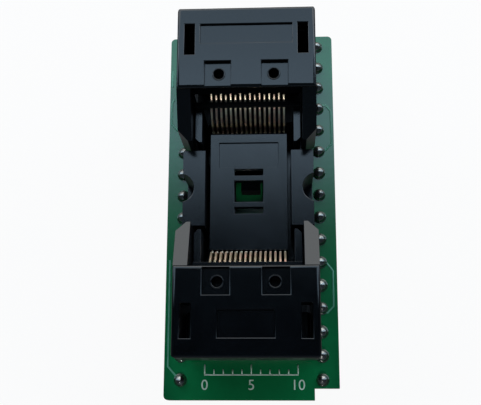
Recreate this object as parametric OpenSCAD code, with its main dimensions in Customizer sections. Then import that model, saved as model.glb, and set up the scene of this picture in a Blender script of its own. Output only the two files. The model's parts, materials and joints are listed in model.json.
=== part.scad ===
// Programming adapter for a thin small-outline memory chip.
// A board with two rows of pins carries an open-top zero-insertion-force socket.
// Millimetres, +Z up. Pin tips stand on z = 0, the board's outline is centred on the origin,
// +Y points to the back cap. Inside the socket, u is the distance from the socket's middle
// towards a cap, and heights are counted from the top of the board.

/* [Board] */
// Width of the circuit board
board_w = 18.8; // [18.4:0.1:24]
// Board behind the centres of the rearmost pins
back_margin = 1.4; // [1.2:0.1:5]
// Board in front of the centres of the foremost pins
front_margin = 2.1; // [1.9:0.1:8]
// Thickness of the circuit board
board_t = 1.6; // [1:0.1:2.4]
// Corner radius of the circuit board
board_r = 0.5; // [0.2:0.1:1]
// Width of the notch at the front right corner
notch_w = 2.65; // [1.5:0.05:4]
// Length of the notch at the front right corner
notch_l = 1.25; // [0.5:0.05:1.3]

/* [Pins] */
// Pins in each row
row_pins = 16; // [16:1:20]
// Distance between neighbouring pins
pin_pitch = 2.54; // [2.5:0.01:2.8]
// Distance between the two rows
row_spacing = 15.24; // [15.1:0.01:16]
// Diameter of a pin below its strip
pin_d = 0.5; // [0.4:0.01:0.6]
// Length of a pin below its strip
pin_free = 3; // [2:0.1:6]
// Diameter of the pin's collar inside the strip
collar_d = 0.76; // [0.66:0.01:1]
// Width of the strip that holds a row of pins
strip_w = 2.2; // [1.6:0.1:2.6]
// Height of that strip
strip_h = 2.5; // [2:0.1:4]
// Diameter of the solder pad round each pin
pad_d = 1.5; // [1.3:0.05:1.6]
// Height of the solder joint above the board
joint_h = 0.82; // [0.6:0.02:1]

/* [Contacts] */
// Contacts in each row
contacts = 16; // [8:2:16]
// Distance between neighbouring contacts
contact_pitch = 0.5; // [0.45:0.01:0.5]
// Thickness of a contact along the row
contact_t = 0.22; // [0.15:0.01:0.26]
// Width of the strip that a contact is cut from
contact_w = 0.42; // [0.3:0.01:0.5]
// Height of the hinge line of the contact arms
pivot_h = 3.2; // [3:0.05:3.6]
// Length of contact tail below the board
tail_free = 0.6; // [0.3:0.1:1.2]

/* [Chip nest] */
// Width of the platform that the chip rests on
platform_w = 8.1; // [7.9:0.05:8.2]
// Length of that platform
platform_l = 12.5; // [12:0.05:13]
// Height of the platform's top
platform_h = 6.9; // [6.5:0.05:7.3]
// Thickness of the platform's top and walls
platform_wall = 0.8; // [0.5:0.05:1.2]
// Width of the window in the middle of the platform
window_w = 3; // [2:0.1:4]
// Length of that window
window_l = 2.3; // [1.5:0.1:2.8]
// Gap between the platform and the rails beside it
nest_gap = 0.38; // [0.2:0.02:0.4]

/* [Socket base] */
// Thickness of the base's floor
floor_t = 1.8; // [1.4:0.1:2.2]
// Height of the side rails
rail_h = 8.5; // [7.5:0.1:9]
// Width of a side rail
rail_w = 2.3; // [2:0.02:2.3]
// Length of a side rail
rail_l = 8; // [5:0.1:8.2]
// Height of the sills beside the cap's arms
sill_h = 3.8; // [2.5:0.1:4.2]
// Radius of the round notch in each rail
rail_notch_r = 1.5; // [1:0.05:2]
// Depth of that notch
rail_notch_d = 1.15; // [0.5:0.05:1.4]
// Height of the comb's cheeks
cheek_h = 9.5; // [8:0.1:10]
// Thickness of the comb's cheeks
cheek_w = 0.7; // [0.5:0.05:0.8]

/* [Caps] */
// Width of a cap
cap_w = 13.98; // [13.8:0.02:14.1]
// Length of a cap without its arms
cap_l = 8.7; // [8.4:0.1:9]
// Height of a cap's top at rest
cap_h = 13.7; // [13.2:0.1:15]
// How far a cap is set back from the platform's end
cap_setback = 2.66; // [2.64:0.02:3.1]
// Thickness of a cap's side and end walls
cap_wall = 0.75; // [0.6:0.05:0.8]
// Thickness of a cap's roof
roof_t = 1.1; // [0.8:0.05:1.4]
// Height of the rim round a cap's outer end
rim_h = 3.4; // [3.3:0.1:4.5]
// Rounding along a cap's top edges
cap_edge_r = 0.35; // [0.1:0.05:0.5]
// Rounding of a cap's outer corners
cap_corner_r = 0.45; // [0.3:0.05:1.2]
// Travel of a cap when it is pressed
press_travel = 1.5; // [1:0.1:1.6]
// Height of the arm's tip
arm_tip_h = 11.2; // [10:0.1:12.5]
// Width of the slots over the latches
slot_w = 1.04; // [0.8:0.02:1.1]
// Length of those slots
slot_l = 3.3; // [2.6:0.1:3.4]
// Width of the square pockets behind the inner edge
pocket_w = 2.64; // [2:0.02:2.8]
// Length of those pockets
pocket_l = 2.64; // [2:0.02:2.8]
// Width of the rim between a pocket and the inner edge
pocket_rim = 0.2; // [0.15:0.05:0.3]
// Depth of those pockets
pocket_d = 0.48; // [0.3:0.02:1]
// Diameter of the round hole in each pocket
eye_d = 1.04; // [0.6:0.02:1.4]
// Width of the back cap's shallow recess
back_recess_w = 9.3; // [6:0.1:9.6]
// Length of the back cap's shallow recess
back_recess_l = 2.05; // [1.5:0.05:2.6]
// Width of the front cap's shallow recess
front_recess_w = 5.4; // [4:0.1:9.6]
// Length of the front cap's shallow recess
front_recess_l = 2.6; // [1.5:0.05:2.8]
// Depth of the shallow recesses
recess_d = 0.28; // [0.1:0.02:0.5]

/* [Springs] */
// Distance of a spring from the middle of its cap
spring_x = 2.6; // [2.2:0.1:3.4]
// Mean radius of the coil
spring_r = 1.15; // [1.1:0.05:1.3]
// Diameter of the spring wire
wire_d = 0.32; // [0.2:0.02:0.36]
// Turns of the coil
turns = 7; // [5:1:9]

/* [Hidden] */

// Clearances: moulded pieces that slide, pieces that seat, metal in metal
slide_gap = 0.18;
seat_gap = 0.05;
metal_gap = 0.02;
// Overshoot of a cut past the face it opens
cut = 1;
// Least distance kept between neighbouring features of one moulding
land = 0.1;

// Board and pin field
field_l = (row_pins - 1) * pin_pitch;
board_l = field_l + back_margin + front_margin;
field_y = (front_margin - back_margin) / 2;
board_z = pin_free + strip_h;
board_top = board_z + board_t;
strip_overhang = 0.75;
strip_groove = 0.3;
pin_hole_d = pin_d + 0.1;
pin_tail = 0.45;
pad_t = 0.05;
pad_rim = 0.12;

// Nest, rails and sills
nest_x = platform_w / 2 + nest_gap;
base_x = nest_x + rail_w;
cheek_gap = 0.28;
cheek_near = nest_x + cheek_gap;
cheek_x = cheek_near + cheek_w;
cap_in = platform_l / 2 + cap_setback;
cap_out = cap_in + cap_l;
sill_end = cap_in - slide_gap - land;
wall_x = cap_w / 2 - cap_wall;
base_end_x = wall_x - slide_gap;
cap_end = cap_out - cap_wall;
base_end = cap_end - slide_gap;
end_wall_t = 0.5;
end_wall_h = cap_h - roof_t - press_travel - slide_gap;

// Contact comb
comb_in = platform_l / 2 + seat_gap;
comb_out = cap_in + land;
comb_h = 2.6;
comb_floor = 0.7;
cheek_lead = 0.6;
cheek_in = rail_l / 2 + cheek_lead;
contact_gap = 0.04;
tail_inset = 1;
tail_stagger = 1.2;
tail_near = comb_in + tail_inset;
tail_far = tail_near + tail_stagger;
tail_w = 0.26;
tail_hole_d = 0.5;

// Contact arm, as a bent strip: nose, upright lip, rising flank, level beam and driven end
lead_gap = 0.22;
nose_gap = 0.25;
pivot_reach = 0.79;
lip = [0.15, 1.2];
flank = [1.43, 1.65];
beam = [0.82, 0];
driven = [0.9, 0.55];
short_end = 0.67;
contact_nose = [platform_l / 2 + nose_gap, platform_h + land];
contact_knee = contact_nose + lip;
contact_bend = contact_knee + flank;
contact_shelf = contact_bend + beam;
contact_end = contact_shelf + driven;
seat_z = contact_nose[1] - lead_gap;
pivot_u = contact_nose[0] + pivot_reach;
knuckle_r = contact_w;
shank_in = pivot_u - contact_w / 2;
shank_out = pivot_u + contact_w / 2;

// Bar of the comb across the arms, just over their bends
bar_gap = 0.13;
bar_w = 0.5;
bar_h = 0.4;
bar_in = contact_bend[0];
bar_out = bar_in + bar_w;
bar_low = contact_bend[1] + bar_gap;
bar_top = bar_low + bar_h;

// Cap: the thick slab over the contact arms pushes their ends
push_gap = 0.35;
slab_z = contact_end[1] + push_gap;
slab_l = 3.5;
edge_t = 1.8;
edge_run = 0.7;
foot_rest = 1.2;
cap_foot = press_travel + foot_rest;
flange_t = foot_rest - slide_gap;
arm_in = cheek_x + slide_gap;
arm_tip = rail_l / 2 + slide_gap;
arm_bottom = sill_h + press_travel + slide_gap;
arm_chamfer = 1;
arm_root = 1;
ramp_drop = 0.3;
pocket_x = 1.54;
eye_inset = 1.58;
eye_u = cap_in + eye_inset;
eye_x = pocket_x + pocket_w / 2 - land;
eye_depth = 1.6;
slot_u = cap_in + slab_l + land;
recess_rim = 1.85;
recess_out = cap_out - recess_rim;

// Latch: a hook of the base over a catch of the cap
latch_end_gap = 0.35;
latch_w = slot_l - 2 * latch_end_gap;
latch_u = slot_u + slot_l / 2;
hook_reach = 0.25;
hook_gap = 0.12;
latch_post_in = wall_x - slot_w;
latch_hook_out = wall_x - hook_gap;
latch_post_out = latch_hook_out - hook_reach;
catch_in = latch_post_out + land;
catch_t = 1.2;
hook_z = 7.6;
hook_h = 1.4;
hook_lip = 0.2;
catch_top = hook_z - land;

// Springs
spring_u = cap_in + slab_l + (cap_l - slab_l - cap_wall) / 2;
coil_gap = 0.24;
post_r = spring_r - wire_d / 2 - coil_gap;
boss_h = 1.2;
boss_gap = 1.4;
post_h = cap_h - roof_t - press_travel - boss_h - boss_gap;
spring_low = floor_t + seat_gap;
spring_high = cap_h - roof_t - seat_gap;

// Places of the socket, of a cap's end and of repeated pieces

module in_socket() {
    translate([0, field_y, board_top]) children();
}

// Draws its children at the back end, or mirrored at the front end
module at_end(back) {
    in_socket() mirror([0, back ? 0 : 1, 0]) children();
}

module both_sides() {
    for (side = [0, 1])
        mirror([side, 0, 0]) children();
}

module both_ends() {
    for (end = [0, 1])
        mirror([0, end, 0]) children();
}

module along_pins(x) {
    for (i = [0 : row_pins - 1])
        translate([x, field_y + field_l / 2 - i * pin_pitch, 0]) children();
}

function contact_x(i) = (i - (contacts - 1) / 2) * contact_pitch;
function tail_u(i) = i % 2 == 0 ? tail_near : tail_far;

// A block from its low corner to its high corner
module block(low, high) {
    translate(low) cube(high - low);
}

// Stands an outline drawn in (u, z) up and gives it a thickness along x, centred on x = 0
module stand_up(t) {
    translate([-t / 2, 0, 0])
        rotate([90, 0, 90])
            linear_extrude(t) children();
}

module round_rect(w, l, r) {
    square([w - 2 * r, l], center = true);
    square([w, l - 2 * r], center = true);
    for (x = [-1, 1], y = [-1, 1])
        translate([x * (w / 2 - r), y * (l / 2 - r)])
            circle(r, $fn = 40);
}

// A rectangle on the axis from y = 0 up to h, with its two upper corners rounded
module arched_rect(w, h, r) {
    translate([-w / 2, 0]) square([w, h - r]);
    translate([-w / 2 + r, 0]) square([w - 2 * r, h]);
    for (x = [-1, 1])
        translate([x * (w / 2 - r), h - r])
            circle(r, $fn = 40);
}

// Circuit board with its notch, pin holes, tail holes and peg holes
peg_r = 0.5;
peg_end_inset = 4.2;
peg_side_inset = 1.2;
peg_u = base_end - peg_end_inset;
peg_x = base_end_x - peg_side_inset;

module at_pegs() {
    for (turn = [0, 180])
        rotate([0, 0, turn])
            translate([peg_x, peg_u, 0]) children();
}

module circuit_board() {
    color("seagreen")
        difference() {
            translate([0, 0, board_z])
                linear_extrude(board_t)
                    difference() {
                        round_rect(board_w, board_l, board_r);
                        translate([board_w / 2 - notch_w, -board_l / 2 - cut])
                            square([notch_w + cut, notch_l + cut]);
                    }
            for (side = [-1, 1])
                along_pins(side * row_spacing / 2)
                    translate([0, 0, board_z - cut])
                        cylinder(d = pin_hole_d, h = board_t + 2 * cut, $fn = 24);
            in_socket() {
                both_ends()
                    for (i = [0 : contacts - 1])
                        translate([contact_x(i), tail_u(i), -board_t - cut])
                            cylinder(d = tail_hole_d, h = board_t + 2 * cut, $fn = 24);
                at_pegs()
                    translate([0, 0, -board_t - cut])
                        cylinder(r = peg_r + seat_gap, h = board_t + 2 * cut, $fn = 24);
            }
        }
}

// Pin strips with breaking grooves between the pins, turned pins and their solder joints

module pin_strip(x) {
    outline = [
        [-strip_groove, 0], [0, strip_groove], [strip_groove, 0],
        [strip_groove, -cut], [-strip_groove, -cut]
    ];
    color("#1c1d1f")
        difference() {
            translate([x, field_y, pin_free + strip_h / 2])
                cube([strip_w, field_l + 2 * strip_overhang, strip_h], center = true);
            along_pins(x)
                translate([0, 0, pin_free - cut])
                    cylinder(d = collar_d + 2 * metal_gap, h = strip_h + 2 * cut, $fn = 24);
            for (i = [1 : row_pins - 1], side = [0, 1])
                translate([x, field_y + field_l / 2 - (i - 0.5) * pin_pitch, pin_free - cut])
                    rotate([0, 0, side * 180 + 90])
                        translate([0, -strip_w / 2, 0])
                            linear_extrude(strip_h + 2 * cut) polygon(outline);
        }
}

// Half section of a pin: rounded tip, shank, collar, and the tail that the solder holds
module pin() {
    tip = pin_d / 2;
    rotate_extrude($fn = 32)
        union() {
            intersection() {
                translate([0, tip]) circle(tip, $fn = 32);
                square([tip, tip]);
            }
            translate([0, tip]) square([tip, board_top + pin_tail - tip]);
            translate([0, pin_free]) square([collar_d / 2, strip_h]);
        }
}

module pins(x) {
    color("#c9b37a") along_pins(x) pin();
}

// Solder: a tinned pad with a dome over the pin's tail
module solder_joint() {
    dome_r = pad_d / 2 - pad_rim;
    bore_h = pin_tail + metal_gap;
    difference() {
        rotate_extrude($fn = 40)
            union() {
                square([pad_d / 2, pad_t]);
                intersection() {
                    translate([0, joint_h - dome_r]) circle(dome_r, $fn = 40);
                    square([dome_r, joint_h]);
                }
            }
        translate([0, 0, -cut])
            cylinder(d = pin_d + 2 * metal_gap, h = bore_h + cut, $fn = 32);
    }
}

module solder_joints(x) {
    color("#c8ccd0")
        along_pins(x)
            translate([0, 0, board_top]) solder_joint();
}

// Socket base: floor, sills, notched rails, end walls, spring posts, latch hooks and locating pegs

module rail() {
    difference() {
        block([nest_x, -rail_l / 2, 0], [base_x, rail_l / 2, rail_h]);
        translate([base_x + rail_notch_r - rail_notch_d, 0, sill_h])
            cylinder(r = rail_notch_r, h = rail_h, $fn = 48);
    }
}

module latch_hook() {
    hook_top = hook_z + hook_h;
    outline = [
        [latch_post_in, 0], [latch_post_out, 0], [latch_post_out, hook_z],
        [latch_hook_out, hook_z], [latch_hook_out, hook_z + hook_lip],
        [latch_post_out, hook_top], [latch_post_in, hook_top]
    ];
    translate([0, latch_u + latch_w / 2, 0])
        rotate([90, 0, 0])
            linear_extrude(latch_w) polygon(outline);
}

module spring_post() {
    translate([spring_x, spring_u, 0])
        cylinder(r = post_r, h = post_h, $fn = 32);
}

// Opening over the board under the platform's window, with a tongue reaching in from the back
module floor_window() {
    tongue_w = 2.1;
    tongue_in = 1.35;
    end_reach = 2;
    half_w = window_w / 2 + 2 * land;
    half_l = window_l / 2 + end_reach;
    difference() {
        block([-half_w, -half_l, -cut], [half_w, half_l, floor_t + cut]);
        block([-tongue_w / 2, tongue_in, 0], [tongue_w / 2, half_l + cut, floor_t]);
    }
}

module socket_base() {
    color("#1a1b1e")
        in_socket() {
            difference() {
                union() {
                    block([-base_x, -sill_end, 0], [base_x, sill_end, floor_t]);
                    block([-base_end_x, -base_end, 0], [base_end_x, base_end, floor_t]);
                    block([-base_x, -base_end, 0], [base_x, base_end, flange_t]);
                    both_sides() {
                        block([cheek_x + seat_gap, -sill_end, 0], [base_x, sill_end, sill_h]);
                        rail();
                        both_ends() {
                            latch_hook();
                            spring_post();
                        }
                    }
                    both_ends()
                        block([-base_end_x, base_end - end_wall_t, 0], [base_end_x, base_end, end_wall_h]);
                }
                both_ends()
                    block([-cheek_x - seat_gap, comb_in - seat_gap, -cut],
                          [cheek_x + seat_gap, comb_out + seat_gap, floor_t + cut]);
                floor_window();
            }
            at_pegs()
                translate([0, 0, -board_t])
                    cylinder(r = peg_r, h = board_t, $fn = 24);
        }
}

// Chip platform: a box lid with a window, two slots and a shallow recess towards the back

module chip_platform() {
    slot_len = 0.7;
    slot_gap = 0.55;
    slot_in = window_l / 2 + slot_gap;
    pan_rim = 0.95;
    pan_w = platform_w - 2 * pan_rim;
    pan_low = slot_in + slot_len + 2 * land;
    pan_high = platform_l / 2 - pan_rim;
    pan_d = 0.2;
    color("#202227")
        in_socket()
            difference() {
                block([-platform_w / 2, -platform_l / 2, floor_t],
                      [platform_w / 2, platform_l / 2, platform_h]);
                block([-platform_w / 2 + platform_wall, -platform_l / 2 + platform_wall, 0],
                      [platform_w / 2 - platform_wall, platform_l / 2 - platform_wall,
                       platform_h - platform_wall]);
                block([-window_w / 2, -window_l / 2, floor_t],
                      [window_w / 2, window_l / 2, platform_h + cut]);
                both_ends()
                    block([-window_w / 2, slot_in, floor_t],
                          [window_w / 2, slot_in + slot_len, platform_h + cut]);
                block([-pan_w / 2, pan_low, platform_h - pan_d],
                      [pan_w / 2, pan_high, platform_h + cut]);
            }
}

// Contact comb: a slotted block in the floor, with cheeks that carry a bar across the row

module cheek() {
    chamfer = 0.4;
    profile = [
        [cheek_in, floor_t], [comb_in, floor_t], [comb_in, 0], [bar_out, 0], [bar_out, bar_top],
        [bar_in, bar_top], [bar_in, cheek_h], [cheek_in, cheek_h]
    ];
    plan = [
        [cheek_near, cheek_in], [cheek_x - chamfer, cheek_in], [cheek_x, cheek_in + chamfer],
        [cheek_x, bar_out], [cheek_near, bar_out]
    ];
    intersection() {
        stand_up(2 * cheek_x) polygon(profile);
        linear_extrude(bar_top + cut) polygon(plan);
    }
}

module contact_comb(back) {
    slot_t = contact_t + 2 * contact_gap;
    color("#17181a")
        at_end(back)
            difference() {
                union() {
                    block([-cheek_x, comb_in, 0], [cheek_x, comb_out, comb_h]);
                    block([-cheek_x, bar_in, bar_low], [cheek_x, bar_out, bar_top]);
                    both_sides() cheek();
                }
                for (i = [0 : contacts - 1])
                    translate([contact_x(i), 0, 0]) {
                        block([-slot_t / 2, comb_in - cut, comb_floor],
                              [slot_t / 2, tail_far + tail_w, comb_h + cut]);
                        translate([0, tail_u(i), 0])
                            cube([slot_t, tail_w + 2 * contact_gap, 2 * comb_floor + cut],
                                 center = true);
                    }
            }
}

// Fixed lower contact: seat under the chip's lead, cradle under the arm's knuckle, tail

module lower_contact(u) {
    riser = 0.28;
    base_t = 0.6;
    riser_in = comb_in + seat_gap;
    base_out = max(u, pivot_u) + tail_w / 2;
    stand_up(contact_t)
        difference() {
            union() {
                translate([riser_in, comb_floor]) square([riser, seat_z - comb_floor]);
                translate([riser_in, comb_floor]) square([base_out - riser_in, base_t]);
                translate([shank_in, comb_floor]) square([contact_w, pivot_h - comb_floor]);
                translate([u - tail_w / 2, -board_t - tail_free])
                    square([tail_w, board_t + tail_free + comb_floor + base_t]);
            }
            translate([pivot_u, pivot_h]) circle(knuckle_r + metal_gap, $fn = 48);
        }
}

module lower_contacts(back) {
    color("#b98d3e")
        at_end(back)
            for (i = [0 : contacts - 1])
                translate([contact_x(i), 0, 0]) lower_contact(tail_u(i));
}

// Moving contact arm: knuckle, shank, nose over the lead, rising flank and driven end.
// The strip keeps its width, so its lower edge runs beside the upper one and mitres at the bends.

function below(run) = [run[1], -run[0]] / norm(run);
function mitre(run, next) = (below(run) + below(next)) * contact_w / (1 + below(run) * below(next));

module contact_arm(reach) {
    end = contact_shelf + driven * reach;
    under_bend = contact_bend + mitre(flank, beam);
    under_shelf = contact_shelf + mitre(beam, driven);
    under_end = end + below(driven) * contact_w;
    meet_z = under_bend[1] - (under_bend[0] - shank_out) * flank[1] / flank[0];
    outline = [
        contact_nose, contact_knee, contact_bend, contact_shelf, end,
        under_end, under_shelf, under_bend,
        [shank_out, meet_z], [shank_out, pivot_h], [shank_in, pivot_h], [shank_in, contact_nose[1]]
    ];
    stand_up(contact_t) {
        polygon(outline);
        translate([pivot_u, pivot_h]) circle(knuckle_r, $fn = 48);
    }
}

module contact_arms(back) {
    color("#d6a94a")
        at_end(back)
            for (i = [0 : contacts - 1])
                translate([contact_x(i), 0, 0]) contact_arm(i % 2 == 0 ? 1 : short_end);
}

// Solder round the contact tails, under the board

module tail_solder(back) {
    joint_r = 0.34;
    joint_l = 0.42;
    height = min(joint_l, tail_free);
    color("#c8ccd0")
        at_end(back)
            for (i = [0 : contacts - 1])
                translate([contact_x(i), tail_u(i), -board_t])
                    difference() {
                        rotate([180, 0, 0])
                            cylinder(r1 = joint_r, r2 = joint_r / 2, h = height, $fn = 32);
                        cube([contact_t + 2 * metal_gap, tail_w + 2 * metal_gap, 4 * height],
                             center = true);
                    }
}

// Cap: a rounded block, hollow underneath, with a thick slab over the contact arms

module cap_block() {
    middle = (cap_in + cap_out) / 2;
    intersection() {
        translate([0, middle, cap_foot])
            linear_extrude(cap_h)
                union() {
                    round_rect(cap_w, cap_l, cap_corner_r);
                    translate([-cap_w / 2, -cap_l / 2]) square([cap_w, cap_l / 2]);
                }
        translate([0, middle, 0])
            stand_up(cap_w + cut)
                arched_rect(cap_l, cap_h, cap_edge_r);
        translate([0, cap_out + cut, 0])
            rotate([90, 0, 0])
                linear_extrude(cap_l + 2 * cut)
                    arched_rect(cap_w, cap_h, cap_edge_r);
    }
}

module cap_arm() {
    root = cap_in + arm_root;
    slope = [
        [arm_tip, arm_bottom], [root, arm_bottom], [root, cap_h - ramp_drop],
        [cap_in, cap_h - ramp_drop], [arm_tip, arm_tip_h]
    ];
    plan = [
        [arm_in, arm_tip], [cap_w / 2 - arm_chamfer, arm_tip], [cap_w / 2, arm_tip + arm_chamfer],
        [cap_w / 2, root], [arm_in, root]
    ];
    intersection() {
        stand_up(cap_w + cut) polygon(slope);
        linear_extrude(cap_h) polygon(plan);
    }
}

// Room under a cap: the roof is thin over the springs, the slab thins out to the inner edge,
// and the outer end is open below its rim
module cap_hollow() {
    slab_end = cap_in + slab_l;
    roof_z = cap_h - roof_t;
    edge_z = cap_h - edge_t;
    outline = [
        [cap_in - cut, 0], [cap_end, 0], [cap_end, roof_z], [slab_end, roof_z],
        [slab_end, slab_z], [cap_in + edge_run, slab_z], [cap_in, edge_z], [cap_in - cut, edge_z]
    ];
    stand_up(2 * wall_x) polygon(outline);
    block([-cap_w, cap_end, 0], [cap_w, cap_out + cut, cap_h - rim_h]);
}

module cap_openings(recess_w, recess_l) {
    both_sides() {
        block([wall_x - slot_w, slot_u, cap_h - roof_t - cut], [wall_x, slot_u + slot_l, cap_h + cut]);
        block([pocket_x, cap_in + pocket_rim, cap_h - pocket_d],
              [pocket_x + pocket_w, cap_in + pocket_rim + pocket_l, cap_h + cut]);
        translate([eye_x, eye_u, cap_h - pocket_d - eye_depth])
            cylinder(d = eye_d, h = eye_depth + cut, $fn = 32);
    }
    block([-recess_w / 2, recess_out - recess_l, cap_h - recess_d],
          [recess_w / 2, recess_out, cap_h + cut]);
}

module cap(back, recess_w, recess_l) {
    color("#232529")
        at_end(back) {
            difference() {
                union() {
                    difference() {
                        cap_block();
                        cap_hollow();
                    }
                    both_sides() cap_arm();
                }
                cap_openings(recess_w, recess_l);
            }
            both_sides() {
                block([catch_in, latch_u - latch_w / 2, catch_top - catch_t],
                      [wall_x, latch_u + latch_w / 2, catch_top]);
                translate([spring_x, spring_u, cap_h - roof_t - boss_h])
                    cylinder(r = post_r, h = boss_h, $fn = 32);
            }
        }
}

// Return spring: a round wire swept along a helix whose end turns lie closed

sides = 8;
steps = 12;

// Height of the wire's centre after a turns, between the two closed end turns
function coil_z(a) =
    let (low = spring_low + wire_d / 2)
    let (high = spring_high - wire_d / 2)
    let (open = (high - low - 2 * wire_d) / (turns - 2))
    a < 1 ? low + a * wire_d
    : a > turns - 1 ? high - (turns - a) * wire_d
    : low + wire_d + (a - 1) * open;

function coil_ring(a) = [
    for (s = [0 : sides - 1])
        let (r = spring_r + wire_d / 2 * cos(s * 360 / sides))
        [r * cos(a * 360), r * sin(a * 360), coil_z(a) + wire_d / 2 * sin(s * 360 / sides)]
];

module spring(back, side) {
    rings = turns * steps;
    points = [for (k = [0 : rings]) each coil_ring(k / steps)];
    skin = [
        for (k = [0 : rings - 1], s = [0 : sides - 1])
            let (next = (s + 1) % sides)
            [k * sides + s, k * sides + next, (k + 1) * sides + next, (k + 1) * sides + s]
    ];
    first = [for (s = [0 : sides - 1]) sides - 1 - s];
    last = [for (s = [0 : sides - 1]) rings * sides + s];
    color("#9da3a8")
        at_end(back)
            translate([side * spring_x, spring_u, 0])
                polyhedron(points, concat([first, last], skin));
}

circuit_board();
pin_strip(-row_spacing / 2);  // left_pin_strip
pin_strip(row_spacing / 2);  // right_pin_strip
pins(-row_spacing / 2);  // left_pins
pins(row_spacing / 2);  // right_pins
solder_joints(-row_spacing / 2);  // left_solder_joints
solder_joints(row_spacing / 2);  // right_solder_joints
socket_base();
chip_platform();
contact_comb(true);  // back_contact_comb
contact_comb(false);  // front_contact_comb
lower_contacts(true);  // back_lower_contacts
lower_contacts(false);  // front_lower_contacts
contact_arms(true);  // back_contact_arms
contact_arms(false);  // front_contact_arms
tail_solder(true);  // back_tail_solder
tail_solder(false);  // front_tail_solder
cap(true, back_recess_w, back_recess_l);  // back_cap
cap(false, front_recess_w, front_recess_l);  // front_cap
spring(true, -1);  // back_left_spring
spring(true, 1);  // back_right_spring
spring(false, -1);  // front_left_spring
spring(false, 1);  // front_right_spring
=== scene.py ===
"""Dresses a chip programming adapter: a pinned board under an open-top chip socket."""
import json
import math
import random

import bmesh
import bpy
from bpy.props import FloatProperty, FloatVectorProperty, IntProperty, PointerProperty
from mathutils import Matrix, Vector


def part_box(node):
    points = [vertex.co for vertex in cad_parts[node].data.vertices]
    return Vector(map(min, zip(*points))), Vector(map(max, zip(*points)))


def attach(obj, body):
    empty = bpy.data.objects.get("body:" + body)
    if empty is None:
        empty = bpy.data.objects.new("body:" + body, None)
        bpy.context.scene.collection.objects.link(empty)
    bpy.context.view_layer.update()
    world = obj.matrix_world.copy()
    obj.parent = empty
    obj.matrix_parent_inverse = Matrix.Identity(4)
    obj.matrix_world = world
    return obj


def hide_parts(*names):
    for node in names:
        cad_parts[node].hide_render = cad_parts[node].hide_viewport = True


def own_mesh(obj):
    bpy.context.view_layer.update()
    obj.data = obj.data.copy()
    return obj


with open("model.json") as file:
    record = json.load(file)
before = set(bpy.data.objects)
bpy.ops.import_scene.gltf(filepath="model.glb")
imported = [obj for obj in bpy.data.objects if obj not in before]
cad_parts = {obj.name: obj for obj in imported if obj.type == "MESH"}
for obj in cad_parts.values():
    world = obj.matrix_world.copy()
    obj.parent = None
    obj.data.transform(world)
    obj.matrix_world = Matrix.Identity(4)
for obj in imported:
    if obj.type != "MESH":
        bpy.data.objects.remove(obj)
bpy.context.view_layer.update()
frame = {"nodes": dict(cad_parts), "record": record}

bl_info = {
    "name": "Programming Adapter",
    "version": (1, 0, 0),
    "blender": (4, 5, 0),
    "location": "View3D > Sidebar > Adapter",
    "description": "Finishes, rounded mouldings, solder, springs and a stage for a chip programming adapter",
    "category": "Object",
}

MM = 0.001
BODY_OF = {node: body for body, nodes in frame["record"]["behaviour"]["bodies"].items() for node in nodes}
BOARD_LOW, BOARD_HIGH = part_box("circuit_board")
PLATFORM_LOW, PLATFORM_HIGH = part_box("chip_platform")
SOCKET_Y = (PLATFORM_LOW.y + PLATFORM_HIGH.y) / 2
ENDS = ("back", "front")
SIDES = ("left", "right")
MOULD_CREASE = 20
PIN_COUNT = 16
# Places on the board from the socket's middle, in millimetres
PIN_PITCH = 2.54
PIN_ROW = 7.62
BACK_PIN = (PIN_COUNT - 1) / 2 * PIN_PITCH
CONTACT_COUNT = 16
CONTACT_PITCH = 0.5
NEAR_TAIL, FAR_TAIL = 7.3, 8.5


# Settings

class AdapterSizes(bpy.types.PropertyGroup):
    """Small sizes that the finished pieces add to the solids"""

    cap_edge: FloatProperty(
        name="Cap edges", description="Rounding of the edges moulded into the caps",
        default=0.00004, min=0.00001, unit="LENGTH", precision=6)
    cap_opening_edge: FloatProperty(
        name="Cap openings", description="Rounding round the slots, pockets and recess in a cap's top",
        default=0.00009, min=0.00001, unit="LENGTH", precision=6)
    socket_edge: FloatProperty(
        name="Socket edges", description="Rounding of the edges of the socket's base, platform and combs",
        default=0.00004, min=0.00001, unit="LENGTH", precision=6)
    strip_edge: FloatProperty(
        name="Strip edges", description="Rounding of the edges of the pin strips",
        default=0.00008, min=0.00001, unit="LENGTH", precision=6)
    contact_edge: FloatProperty(
        name="Contact edges", description="Rounding of the stamped edges of the contacts",
        default=0.000025, min=0.000005, unit="LENGTH", precision=6)
    contact_bend: FloatProperty(
        name="Contact bends", description="Rounding of the bends across each contact",
        default=0.00013, min=0.00001, unit="LENGTH", precision=6)
    trace_width: FloatProperty(
        name="Trace width", description="Width of the copper traces under the mask",
        default=0.00022, min=0.0001, unit="LENGTH", precision=6)
    trace_height: FloatProperty(
        name="Trace height", description="How far a trace lifts the mask",
        default=0.00003, min=0.00001, unit="LENGTH", precision=6)
    print_height: FloatProperty(
        name="Print height", description="Thickness of the printed marks",
        default=0.000015, min=0.000005, unit="LENGTH", precision=6)
    digit_height: FloatProperty(
        name="Digit size", description="Size of the printed digits",
        default=0.0011, min=0.0005, unit="LENGTH", precision=6)
    eye_rim: FloatProperty(
        name="Eye rim", description="Thickness of the raised ring round each eye hole",
        default=0.00007, min=0.00002, unit="LENGTH", precision=6)
    solder_seed: IntProperty(
        name="Solder variation", description="Seed of the differences between the solder joints",
        default=7, min=0)


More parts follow.
